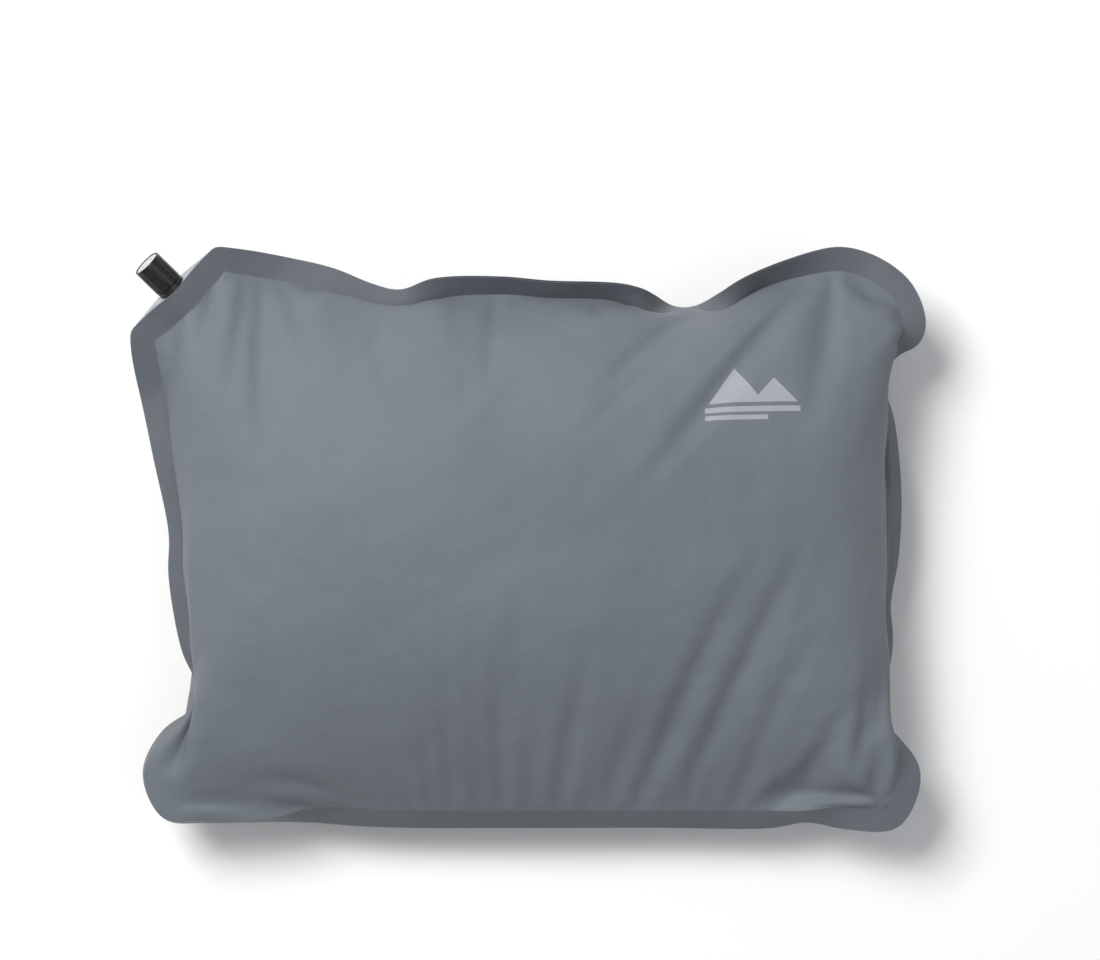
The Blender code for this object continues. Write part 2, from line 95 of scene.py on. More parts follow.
# The rim from the lower end of the valve's cut, down the left side and round to its upper end.
# Each row is x and y of the outer edge and the lift of the weld line in millimetres, and the
# angle in degrees that the flange turns up (+) or down (-).
RIM = (
    (-202.3, 105.6, 0, 0),
    (-202.0, 93.7, 0, 0),
    (-193.0, 45.5, -2, 0),
    (-184.6, 2.3, -4, -8),
    (-185.0, -18.0, -5, -5),
    (-177.8, -58.7, -4, -20),
    (-171.6, -72.4, -2, -45),
    (-172.4, -86.6, 1, -65),
    (-187.5, -97.8, 4, -75),
    (-198.0, -119.6, 5, -80),
    (-187.5, -143.5, 2, -80),
    (-167.6, -145.5, -1, -78),
    (-130.0, -145.3, -5, -74),
    (-112.0, -145.8, -8, -46),
    (-90.0, -147.5, -9, -38),
    (-66.0, -148.5, -9, -38),
    (0.0, -148.5, -8, -40),
    (66.0, -148.5, -9, -38),
    (125.0, -148.5, -8, -38),
    (142.2, -145.0, -2, -56),
    (160.0, -148.2, -3, -20),
    (187.5, -147.5, -1, -10),
    (198.6, -127.2, 1, -10),
    (198.1, -114.5, 2, -25),
    (188.4, -101.8, 4, -70),
    (179.6, -91.7, 5, -85),
    (179.8, -81.5, 4, -80),
    (184.5, -64.0, 0, -60),
    (186.0, -50.0, -3, -48),
    (184.8, -34.0, -4, -50),
    (189.0, -10.0, -5, -46),
    (190.5, 20.1, -5, -44),
    (189.0, 45.0, -5, -46),
    (186.0, 64.0, -2, -55),
    (180.4, 82.0, 2, -75),
    (188.5, 94.7, 3, -60),
    (198.1, 98.8, 2, -30),
    (202.1, 110.0, 0, -10),
    (195.5, 129.3, -1, 0),
    (182.8, 140.9, -1, 5),
    (167.6, 147.5, -1, 10),
    (154.9, 148.6, 0, 20),
    (127.0, 140.4, 0, 46),
    (107.0, 131.8, -2, 44),
    (97.0, 126.0, -5, -5),
    (86.0, 119.6, -8, -78),
    (74.0, 119.2, -8, -78),
    (61.0, 126.4, -4, 10),
    (48.0, 129.4, -2, 45),
    (35.6, 130.2, -1, 54),
    (10.0, 130.8, -1, 54),
    (-15.2, 133.0, -1, 52),
    (-50.0, 132.2, -1, 36),
    (-66.0, 127.0, -1, 5),
    (-81.3, 130.6, -1, 0),
    (-100.0, 138.2, 0, 0),
    (-137.1, 146.0, 0, 0),
    (-159.3, 148.6, 0, 0),
)

CUT_CELLS = 6  # from the middle of the cut to each of its ends
LEFT_CELLS = 50
LONG_CELLS = 76
SHORT_CELLS = 56
RING_SHARES = (0.0, 0.5, 1.0)  # of the flange's width, from the outer edge to the weld line


# ---- Objects ----


def linked(name, data):
    """A new object in the scene that shows that data."""
    item = bpy.data.objects.new(name, data)
    bpy.context.scene.collection.objects.link(item)
    return item


def subdivided(item):
    smooth = item.modifiers.new("Smooth", "SUBSURF")
    smooth.levels = 1
    smooth.render_levels = 1


# ---- Curves ----


def spline(points, steps):
    """A smooth curve through the points, with that many steps between neighbours."""
    rows = [np.array(p, float) for p in points]
    rows = [2 * rows[0] - rows[1], *rows, 2 * rows[-1] - rows[-2]]
    knots = [0.0]
    for a, b in zip(rows, rows[1:]):
        knots.append(knots[-1] + math.hypot(*(b[:2] - a[:2])) ** 0.5)
    curve = []
    for k in range(1, len(rows) - 2):
        t0, t1, t2, t3 = knots[k - 1 : k + 3]
        p0, p1, p2, p3 = rows[k - 1 : k + 3]
        for t in np.linspace(t1, t2, steps, endpoint=False):
            a1 = (t1 - t) / (t1 - t0) * p0 + (t - t0) / (t1 - t0) * p1
            a2 = (t2 - t) / (t2 - t1) * p1 + (t - t1) / (t2 - t1) * p2
            a3 = (t3 - t) / (t3 - t2) * p2 + (t - t2) / (t3 - t2) * p3
            b1 = (t2 - t) / (t2 - t0) * a1 + (t - t0) / (t2 - t0) * a2
            b2 = (t3 - t) / (t3 - t1) * a2 + (t - t1) / (t3 - t1) * a3
            curve.append((t2 - t) / (t2 - t1) * b1 + (t - t1) / (t2 - t1) * b2)
    curve.append(rows[-2])
    return np.array(curve)


def spaced(curve, count):
    """The curve at count + 1 evenly spaced points, both ends included."""
    steps = np.linalg.norm(np.diff(curve[:, :2], axis=0), axis=1)
    length = np.concatenate([[0], np.cumsum(steps)])
    wanted = np.linspace(0, length[-1], count + 1)
    return np.stack([np.interp(wanted, length, column) for column in curve.T], axis=1)


def cut_into(curve, places):
    """The curve cut at those indices."""
    edges = [0, *places, len(curve) - 1]
    return [curve[a : b + 1] for a, b in zip(edges, edges[1:])]


def stations(parts):
    """Every station round the rim, from the middle of the cut, anticlockwise."""
    left, bottom, right, top = parts
    middle = (left[0] + top[-1]) / 2
    chain = [spaced(np.array([middle, left[0]]), CUT_CELLS)]
    chain.append(spaced(left, LEFT_CELLS))
    chain.append(spaced(bottom, LONG_CELLS))
    chain.append(spaced(right, SHORT_CELLS))
    chain.append(spaced(top, LONG_CELLS - CUT_CELLS))
    chain.append(spaced(np.array([top[-1], middle]), CUT_CELLS))
    return np.concatenate([part[:-1] for part in chain])


def flat_rim():
    """The outline that the covers are cut to."""
    x, y, r = FLAT_WIDTH / 2, FLAT_DEPTH / 2, FLAT_RADIUS
    points = [(-x, y - FLAT_CUT)]
    apexes = []
    for centre_x, centre_y, start in ((r - x, r - y, 180), (x - r, r - y, 270), (x - r, y - r, 0)):
        for step in range(25):
            turn = math.radians(start + 90 * step / 24)
            points.append((centre_x + r * math.cos(turn), centre_y + r * math.sin(turn)))
            if step == 12:
                apexes.append(len(points) - 1)
    points.append((-x + FLAT_CUT, y))
    return stations(cut_into(np.array(points), apexes))


def full_rim():
    """The outline of the filled pillow, with the lift and turn of its flange."""
    curve = spline(RIM, 16)
    curve[:, :3] *= 0.001
    curve[:, 3] = np.radians(curve[:, 3])
    x, y = curve[:, 0], curve[:, 1]
    apexes = [int(np.argmax(-x - y)), int(np.argmax(x - y)), int(np.argmax(x + y))]
    return stations(cut_into(curve, apexes))


def inward(rim, smooth):
    """The direction square to the rim at each station, into the pillow."""
    along = np.roll(rim, -1, axis=0) - np.roll(rim, 1, axis=0)
    for _ in range(smooth):
        along = (np.roll(along, 1, axis=0) + 2 * along + np.roll(along, -1, axis=0)) / 4
    normal = np.stack([-along[:, 1], along[:, 0]], axis=1)
    return normal / np.linalg.norm(normal, axis=1)[:, None]


# ---- The rim near the valve ----


def curl(xy):
    """How far the middle of the rim is lifted next to the valve, and how far it tilts."""
    beyond = ((xy - CUT_MIDDLE) @ OUTWARD + CURL_START) / CURL_SOFTNESS
    lift = math.tan(TILT) * CURL_SOFTNESS * np.logaddexp(0, beyond)
    return lift, TILT / (1 + np.exp(-np.clip(beyond, -60, 60)))


def mouth(xy):
    """How far each cover stands off the middle to go over the valve's boot."""
    lateral = (xy - CUT_MIDDLE) @ ALONG / CUT_HALF
    outward = (xy - CUT_MIDDLE) @ OUTWARD
    fade = np.clip(2 + outward / BOOT_LENGTH, 0, 1)
    return MOUTH_RISE * np.clip(1 - lateral**2, 0, 1) ** 6 * fade


def ring(rim, share, side, half):
    """The rim's stations at a share of the flange's width, half away from its middle."""
    into = inward(rim[:, :2], 3)
    turn = rim[:, 3]
    reach = FLANGE * share
    xy = rim[:, :2] + into * (reach * np.cos(turn))[:, None]
    lift, tilt = curl(xy)
    height = MIDDLE + rim[:, 2] + lift + (FLANGE - reach) * np.sin(turn)
    off = half + mouth(xy)
    flat = xy - OUTWARD * (side * off * np.sin(tilt))[:, None]
    flat += into * (side * off * np.sin(turn))[:, None]
    return np.column_stack([flat, height + side * off * np.cos(tilt) * np.cos(turn)])


# ---- The covers as a grid of cloth ----


def grid_edges(ring_points):
    """The closed ring as the four edges of a grid: left, bottom, right and top."""
    n, m = SHORT_CELLS, LONG_CELLS
    closed = np.concatenate([ring_points, ring_points[:1]])
    left = closed[: n + 1]
    bottom = closed[n : n + m + 1]
    right = closed[n + m : 2 * n + m + 1]
    top = closed[2 * n + m : 2 * n + 2 * m + 1]
    return left[::-1], bottom, right, top[::-1]


def filled(ring_points):
    """A smooth grid of points inside the ring: its edges are the ring."""
    left, bottom, right, top = grid_edges(ring_points)
    u = np.linspace(0, 1, LONG_CELLS + 1)[None, :, None]
    v = np.linspace(0, 1, SHORT_CELLS + 1)[:, None, None]
    grid = (1 - v) * bottom[None] + v * top[None] + (1 - u) * left[:, None] + u * right[:, None]
    grid -= (1 - u) * (1 - v) * bottom[0] + u * (1 - v) * bottom[-1]
    grid -= (1 - u) * v * top[0] + u * v * top[-1]
    for _ in range(400):
        inner = grid[:-2, 1:-1] + grid[2:, 1:-1] + grid[1:-1, :-2] + grid[1:-1, 2:]
        grid[1:-1, 1:-1] = inner / 4
    return grid


def swelling():
    """The height of a blown-up skin over the grid, from 0 at its edge to 1."""
    height = np.zeros((SHORT_CELLS + 1, LONG_CELLS + 1))
    for _ in range(4000):
        inner = height[:-2, 1:-1] + height[2:, 1:-1] + height[1:-1, :-2] + height[1:-1, 2:]
        height[1:-1, 1:-1] = inner / 4 + 0.001
    return np.sqrt(height / height.max())


def sheet_points(rings, side, rise):
    """One cover's vertices: the grid row by row, then the flange's outer rings."""
    grid = filled(rings[-1])
    grid[:, :, 2] += side * rise * swelling()
    return np.concatenate([grid.reshape(-1, 3), *rings[:-1]])


def sheet_faces(side):
    """The faces of one cover, in the same order of vertices."""
    n, m = SHORT_CELLS, LONG_CELLS
    index = np.arange((n + 1) * (m + 1)).reshape(n + 1, m + 1)
    faces = []
    for row in range(n):
        for column in range(m):
            corners = index[row, column], index[row, column + 1]
            faces.append((*corners, index[row + 1, column + 1], index[row + 1, column]))
    weld = np.concatenate([index[::-1, 0], index[0, 1:], index[1:, -1], index[-1, -2:0:-1]])
    count = len(weld)
    first = (n + 1) * (m + 1)
    rows = [first + count * k + np.arange(count) for k in range(len(RING_SHARES) - 1)]
    for outer, inner in zip(rows, [*rows[1:], weld]):
        for k in range(count):
            following = (k + 1) % count
            faces.append((outer[k], outer[following], inner[following], inner[k]))
    faces = [tuple(int(i) for i in face) for face in faces]
    return faces if side > 0 else [face[::-1] for face in faces]


def inflate(start, flat, faces, pinned):
    """The covers after air has pressed them out: flat at first, while the rim moves to its place."""
    mesh = bpy.data.meshes.new("covers")
    mesh.from_pydata([tuple(p) for p in flat], [], faces)
    item = linked("covers", mesh)
    item.shape_key_add(name="flat")
    key = item.shape_key_add(name="held")
    key.data.foreach_set("co", np.asarray(start, np.float32).ravel())
    for number, value in ((1, 0.0), (MOVE_FRAMES, 1.0)):
        key.value = value
        key.keyframe_insert("value", frame=number)
    group = item.vertex_groups.new(name="pin")
    group.add([int(i) for i in pinned], 1.0, "REPLACE")
    modifier = item.modifiers.new("Cloth", "CLOTH")
    cloth = modifier.settings
    cloth.quality = 6
    cloth.mass = 0.004
    cloth.air_damping = 1.0
    cloth.tension_stiffness = 80
    cloth.compression_stiffness = 80
    cloth.shear_stiffness = 20
    cloth.bending_stiffness = 0.05
    cloth.tension_damping = 5
    cloth.compression_damping = 5
    cloth.shear_damping = 5
    cloth.bending_damping = 0.5
    cloth.vertex_group_mass = "pin"
    cloth.use_pressure = True
    cloth.uniform_pressure_force = 200.0
    cloth.effector_weights.gravity = 0
    modifier.collision_settings.use_collision = False
    modifier.collision_settings.use_self_collision = False
    modifier.point_cache.frame_start = 1
    modifier.point_cache.frame_end = FRAMES
    scene = bpy.context.scene
    scene.frame_end = FRAMES
    for number in range(1, FRAMES + 1):
        scene.frame_set(number)
    done = item.evaluated_get(bpy.context.evaluated_depsgraph_get()).to_mesh()
    points = np.array([v.co for v in done.vertices])
    scene.frame_set(1)
    bpy.data.objects.remove(item)
    return points


def soft_floor(height, floor, softness):
    """Heights that come to rest on the floor in place of going through it."""
    return floor + softness * np.logaddexp(0, (height - floor) / softness)


FLAT_RIM = flat_rim()
FULL_RIM = full_rim()


def flat_points():
    """The cut cloth's vertices, in the same order as sheet_points."""
    into = inward(FLAT_RIM, 1)
    rings = [FLAT_RIM + into * FLANGE * share for share in RING_SHARES]
    grid = filled(rings[-1])
    flat = np.concatenate([grid.reshape(-1, 2), *rings[:-1]])
    return np.column_stack([flat, np.zeros(len(flat))])


def covers():
    """Both covers' vertices when filled, front first, and the flat cut's."""
    sides = []
    for side in (1, -1):
        rings = [ring(FULL_RIM, share, side, FLANGE_HALF) for share in RING_SHARES]
        sides.append(sheet_points(rings, side, RISE))
    flat = flat_points()
    count = len(flat)
    faces = sheet_faces(1) + [tuple(i + count for i in face) for face in sheet_faces(-1)]
    grid = np.zeros((SHORT_CELLS + 1, LONG_CELLS + 1), bool)
    grid[0], grid[-1], grid[:, 0], grid[:, -1] = True, True, True, True
    held = np.concatenate([grid.ravel(), np.ones(count - grid.size, bool)])
    pinned = np.flatnonzero(np.concatenate([held, held]))
    start = np.concatenate(sides)
    both = np.concatenate([flat + (0, 0, MIDDLE + 0.002), flat + (0, 0, MIDDLE - 0.002)])
    full = inflate(start, both, faces, pinned)
    return full[:count], full[count:], flat, held


def over_valve(points, side):
    """The cover lifted clear of the valve's boot and foot inside it."""
    up = np.array(ACROSS) * np.sign(ACROSS.z)
    away = points - np.array(VALVE)
    depth = -away @ np.array(AXIS)
    lateral = away[:, :2] @ ALONG / CUT_HALF
    height = side * (away @ up)
    fade = np.clip((VALVE_REACH - depth) / VALVE_FADE, 0, 1)
    needed = VALVE_ROOM * np.clip(1 - lateral**2, 0, 1) ** 6 * fade * fade * (3 - 2 * fade)
    lifted = (height + needed + np.hypot(height - needed, VALVE_SOFTNESS)) / 2
    near = (needed > VALVE_SOFTNESS / 4) & ~HELD
    points[near] += (side * (lifted - height))[near, None] * up
    return points


FRONT, BACK, FLAT, HELD = covers()
FRONT, BACK = over_valve(FRONT, 1), over_valve(BACK, -1)
BACK[:, 2] = np.where(HELD, BACK[:, 2], soft_floor(BACK[:, 2], FLOOR, FLATTENING))
FRONT[:, 2] = np.where(HELD, FRONT[:, 2], TOP - soft_floor(TOP - FRONT[:, 2], 0, FLATTENING))


def cover(name, points, side):
    """A cover with its own weave coordinates, in metres of the flat cut."""
    mesh = bpy.data.meshes.new(name)
    mesh.from_pydata([tuple(p) for p in points], [], sheet_faces(side))
    layer = mesh.uv_layers.new(name="pattern")
    corners = np.empty(len(mesh.loops), np.int64)
    mesh.loops.foreach_get("vertex_index", corners)
    layer.data.foreach_set("uv", FLAT[corners, :2].astype(np.float32).ravel())
    ends = np.empty(2 * len(mesh.edges), np.int64)
    mesh.edges.foreach_get("vertices", ends)
    ends = ends.reshape(-1, 2)
    grid_size = (SHORT_CELLS + 1) * (LONG_CELLS + 1)
    welded = (HELD[ends] & (ends < grid_size)).all(axis=1)
    outer = ((ends >= grid_size) & (ends < grid_size + len(FLAT_RIM))).all(axis=1)
    # The flange faces are marked here so that the fabric can darken them: painted shade standing in for the shade
    # the rim lies in
    rim = mesh.attributes.new("rim", "FLOAT", "FACE")
    fused = np.arange(len(mesh.polygons)) >= SHORT_CELLS * LONG_CELLS
    rim.data.foreach_set("value", fused.astype(np.float32))
    crease = mesh.attributes.new("crease_edge", "FLOAT", "EDGE")
    crease.data.foreach_set("value", WELD_CREASE * welded.astype(np.float32))
    sharp = mesh.attributes.new("sharp_edge", "BOOLEAN", "EDGE")
    sharp.data.foreach_set("value", welded | outer)
    mesh.polygons.foreach_set("use_smooth", np.ones(len(mesh.polygons), bool))
    item = linked(name, mesh)
    subdivided(item)
    thick = item.modifiers.new("Thickness", "SOLIDIFY")
    thick.thickness = CLOTH
    thick.offset = -1
    return item


front = cover("front_cover", FRONT, 1)
back = cover("back_cover", BACK, -1)
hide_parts("front_panel")
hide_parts("back_panel")
for piece in (front, back):
    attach(piece, "pillow")
    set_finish(piece, "coated_fabric")


# ---- What is between the covers ----


def closed_mesh(name, points, faces):
    """A smooth closed piece whose faces all look outwards."""
    mesh = bpy.data.meshes.new(name)
    mesh.from_pydata([tuple(p) for p in points], [], faces)
    work = bmesh.new()
    work.from_mesh(mesh)
    bmesh.ops.recalc_face_normals(work, faces=work.faces)
    work.to_mesh(mesh)
    work.free()
    mesh.polygons.foreach_set("use_smooth", np.ones(len(mesh.polygons), bool))
    return linked(name, mesh)


def foam_piece():
    """The foam: a block that fills the covers and stays back from the weld line and the valve."""
    shape = (SHORT_CELLS + 1, LONG_CELLS + 1, 3)
    size = shape[0] * shape[1]
    top, low = FRONT[:size].reshape(shape), BACK[:size].reshape(shape)
    inner = slice(FOAM_INSET, -FOAM_INSET)
    top, low = top[inner, inner].copy(), low[inner, inner].copy()
    middle = (top + low) / 2
    half = np.linalg.norm(top - low, axis=2)[:, :, None] / 2
    keep = np.clip(1 - FOAM_GAP / half, 0.1, 1)
    top, low = middle + (top - middle) * keep, middle + (low - middle) * keep
    depth = -(middle[:, :, :2] - CUT_MIDDLE) @ OUTWARD
    lateral = (middle[:, :, :2] - CUT_MIDDLE) @ ALONG
    push = np.clip(VALVE_POCKET - depth, 0, 1) * np.exp(-((lateral / POCKET_WIDTH) ** 2))
    for layer in (top, low):
        layer[:, :, :2] -= push[:, :, None] * OUTWARD
    rows, columns = top.shape[:2]
    count = rows * columns
    index = np.arange(count).reshape(rows, columns)
    faces = []
    for r in range(rows - 1):
        for c in range(columns - 1):
            quad = (index[r, c], index[r, c + 1], index[r + 1, c + 1], index[r + 1, c])
            faces.append(quad)
            faces.append(tuple(i + count for i in quad[::-1]))
    edge = np.concatenate([index[0, :-1], index[:-1, -1], index[-1, :0:-1], index[:0:-1, 0]])
    for a, b in zip(edge, np.roll(edge, -1)):
        faces.append((a, b, b + count, a + count))
    faces = [tuple(int(i) for i in face) for face in faces]
    points = np.concatenate([top.reshape(-1, 3), low.reshape(-1, 3)])
    return closed_mesh("foam_filling", points, faces)


def rim_film():
    """The fused film in the flange, open where the valve's boot goes through."""
    rings = []
    for share, side in ((0.15, 1), (0.5, 1), (0.85, 1), (0.85, -1), (0.5, -1), (0.15, -1)):
        rings.append(ring(FULL_RIM, share, side, FILM_HALF)[CUT_CELLS + 1 : -CUT_CELLS])
    count = len(rings[0])
    faces = []
    for k in range(6):
        for i in range(count - 1):
            a, b = k * count + i, (k + 1) % 6 * count + i
            faces.append((a, a + 1, b + 1, b))
    faces.append(tuple(k * count for k in range(6)))
    faces.append(tuple(k * count + count - 1 for k in range(6)))
    item = closed_mesh("rim_weld", np.concatenate(rings), faces)
    subdivided(item)
    return item


foam = foam_piece()
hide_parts("foam_core")
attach(foam, "pillow")
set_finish(foam, "open_cell_foam")
film = rim_film()
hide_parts("weld_seam")
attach(film, "pillow")
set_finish(film, "fused_film")

# ---- The knob and its seal, turned round the valve's axis ----
KNOB_RADIUS = 0.0076
KNOB_START = 0.0031
KNOB_END = 0.0188
RIB_COUNT = 6
RIB_WIDTH = 0.0016
RIB_HEIGHT = 0.0006
RIB_SLOPE = 0.00018  # how wide the side of a rib is
KNOB_PROFILE = (  # radius and height, in millimetres
    (6.9, 18.70),
    (7.0, 18.80),
    (7.25, 18.80),
    (7.5, 18.66),
    (7.6, 18.40),
    (7.6, 18.00),
    (7.6, 17.60),
    (7.6, 11.00),
    (7.6, 4.40),
    (7.6, 4.00),
    (7.6, 3.45),
    (7.5, 3.20),
    (7.3, 3.10),
    (6.4, 3.10),
    (6.2, 3.30),
    (6.2, 9.30),
    (6.9, 9.30),
    (6.9, 11.20),
    (6.2, 11.20),
    (6.2, 15.00),
    (4.8, 15.00),
    (4.8, 16.10),
    (6.9, 16.10),
)
SEAL_PROFILE = (
    (3.15, 18.45),
    (3.35, 18.50),
    (6.35, 18.50),
    (6.55, 18.43),
    (6.6, 18.25),
    (6.6, 16.50),
    (6.5, 16.40),
    (4.15, 16.40),
)
VALVE_FRAME = Matrix.Translation(VALVE) @ Matrix(
    (
        (ALONG[0], ACROSS.x, AXIS.x),
        (ALONG[1], ACROSS.y, AXIS.y),
        (0, ACROSS.z, AXIS.z),
    )
).to_4x4()


def rib_at(turn, height):
    """How far the knob's skin stands out there because of a rib."""
    spacing = math.tau / RIB_COUNT
    off = abs(turn % spacing - spacing / 2) * KNOB_RADIUS
    side = min(1, max(0, (RIB_WIDTH / 2 - off) / RIB_SLOPE + 0.5))
    ends = min(height - KNOB_START - RIB_HEIGHT, KNOB_END - 1.5 * RIB_HEIGHT - height) / RIB_HEIGHT
    return RIB_HEIGHT * side * min(1, max(0, ends))


def turned(name, profile, steps, ribbed):
    """A closed profile turned round the valve's axis."""
    points = []
    for step in range(steps):
        turn = math.tau * step / steps
        for index, (radius, height) in enumerate(profile):
            radius, height = radius / 1000, height / 1000
            if ribbed and 2 < index < 12:
                radius += rib_at(turn, height)
            place = (radius * math.cos(turn), radius * math.sin(turn), height)
            points.append(VALVE_FRAME @ Vector(place))
    count = len(profile)
    faces = []
    for step in range(steps):
        for index in range(count):
            a, b = step * count, (step + 1) % steps * count
            following = (index + 1) % count
            faces.append((a + index, b + index, b + following, a + following))
    item = closed_mesh(name, points, faces)
    item.data.set_sharp_from_angle(angle=math.radians(40))
    return item


knob = turned("twist_knob", KNOB_PROFILE, 360, True)
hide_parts("valve_cap")
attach(knob, "cap")
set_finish(knob, "black_plastic")
seal = turned("soft_seal", SEAL_PROFILE, 96, False)
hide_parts("mouth_seal")
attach(seal, "cap")
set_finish(seal, "clear_soft_plastic")

# ---- Materials ----
THREAD_SPACING = 0.0005
DENT_DEPTH = 0.004  # of the broad soft dents, the creasing and the threads
CREASE_DEPTH = 0.0009
THREAD_DEPTH = 0.00003
CLOTH_DARK = (0.128, 0.147, 0.169, 1)
CLOTH_LIGHT = (0.143, 0.163, 0.187, 1)
CLOTH_DUST = (0.172, 0.190, 0.211, 1)
# Painted shade: the welded rim's colour is drawn towards this darker one, standing in for the shade the rim lies
# in beside the dome
RIM_PAINTED_SHADE = (0.078, 0.088, 0.101, 1)
RIM_PAINTED_SHADE_SHARE = 0.42  # how far the welded rim's colour goes towards the darker painted-shade colour
PRINT_COLOUR = (0.34, 0.36, 0.40, 1)
PRINT_AT = (0.113, 0.074)  # the middle of the mark on the filled pillow
MARK_BASE = -0.005  # the foot of both peaks, below the middle of the mark
MARK_PEAKS = (((-0.0085, 0.014), 0.74), ((0.0115, 0.0075), 0.95))  # each tip, and its width by height
MARK_BARS = (((0, -0.0085), (0.0245, 0.0014)), ((-0.0085, -0.0127), (0.016, 0.0012)))
MARK_SOFTNESS = 0.0001

def material(name):
    """A new material with its nodes and links."""
    made = bpy.data.materials.new(name)
    made.use_nodes = True
    return made, made.node_tree.nodes, made.node_tree.links


def node(nodes, kind, **values):
    """A shader node with its inputs set by name."""
    made = nodes.new(kind)
    for name, value in values.items():
        made.inputs[name.replace("_", " ")].default_value = value
    return made


def maths(nodes, links, operation, first, second):
    """The result of one operation on two numbers or sockets."""
    made = nodes.new("ShaderNodeMath")
    made.operation = operation
    for socket, value in zip(made.inputs, (first, second)):
        if isinstance(value, bpy.types.NodeSocket):
            links.new(value, socket)
        else:
            socket.default_value = value
    return made.outputs[0]


def mixed(nodes, links, share, first, second):
    """A colour between two: share is a number or a socket."""
    made = nodes.new("ShaderNodeMix")
    made.data_type = "RGBA"
    for socket, value in ((made.inputs[0], share), (made.inputs[6], first), (made.inputs[7], second)):
        if isinstance(value, bpy.types.NodeSocket):
            links.new(value, socket)
        else:
            socket.default_value = value
    return made.outputs[2]


def spread(nodes, links, value, low, high, new_low, new_high):
    """The value moved from its own range to a new one."""
    made = nodes.new("ShaderNodeMapRange")
    links.new(value, made.inputs["Value"])
    made.inputs["From Min"].default_value = low
    made.inputs["From Max"].default_value = high
    made.inputs["To Min"].default_value = new_low
    made.inputs["To Max"].default_value = new_high
    return made.outputs[0]


def noise(nodes, links, place, scale, detail, roughness=0.5):
    """Soft random patches, about 1/scale metres across."""
    made = node(nodes, "ShaderNodeTexNoise", Scale=scale, Detail=detail, Roughness=roughness)
    links.new(place, made.inputs["Vector"])
    return made.outputs["Fac"]


def bump(nodes, links, height, distance, normal=None):
    """A rough skin of that depth, on top of an earlier one if there is one."""
    made = node(nodes, "ShaderNodeBump", Strength=1.0, Distance=distance)
    links.new(height, made.inputs["Height"])
    if normal:
        links.new(normal, made.inputs["Normal"])
    return made.outputs["Normal"]


def inside_box(nodes, links, u, v, centre, half):
    """How far outside a box of the flat cloth a point is, in metres; below 0 is inside."""
    across = maths(nodes, links, "ABSOLUTE", maths(nodes, links, "SUBTRACT", u, centre[0]), 0)
    down = maths(nodes, links, "ABSOLUTE", maths(nodes, links, "SUBTRACT", v, centre[1]), 0)
    across = maths(nodes, links, "SUBTRACT", across, half[0])
    return maths(nodes, links, "MAXIMUM", across, maths(nodes, links, "SUBTRACT", down, half[1]))


def inside_peak(nodes, links, u, v, tip, base, slope):
    """The same for a triangle with its tip up."""
    across = maths(nodes, links, "ABSOLUTE", maths(nodes, links, "SUBTRACT", u, tip[0]), 0)
    width = maths(nodes, links, "MULTIPLY", maths(nodes, links, "SUBTRACT", tip[1], v), slope)
    across = maths(nodes, links, "SUBTRACT", across, width)
    return maths(nodes, links, "MAXIMUM", across, maths(nodes, links, "SUBTRACT", base, v))


def printed(nodes, links, u, v):
    """1 where the pale mark is printed: two peaks over two plain bars."""
    u = maths(nodes, links, "SUBTRACT", u, PRINT_PLACE[0])
    v = maths(nodes, links, "SUBTRACT", v, PRINT_PLACE[1])
    shapes = [inside_peak(nodes, links, u, v, tip, MARK_BASE, slope) for tip, slope in MARK_PEAKS]
    shapes += [inside_box(nodes, links, u, v, centre, half) for centre, half in MARK_BARS]
    nearest = shapes[0]
    for shape in shapes[1:]:
        nearest = maths(nodes, links, "MINIMUM", nearest, shape)
    return spread(nodes, links, nearest, MARK_SOFTNESS, -MARK_SOFTNESS, 0, 1)


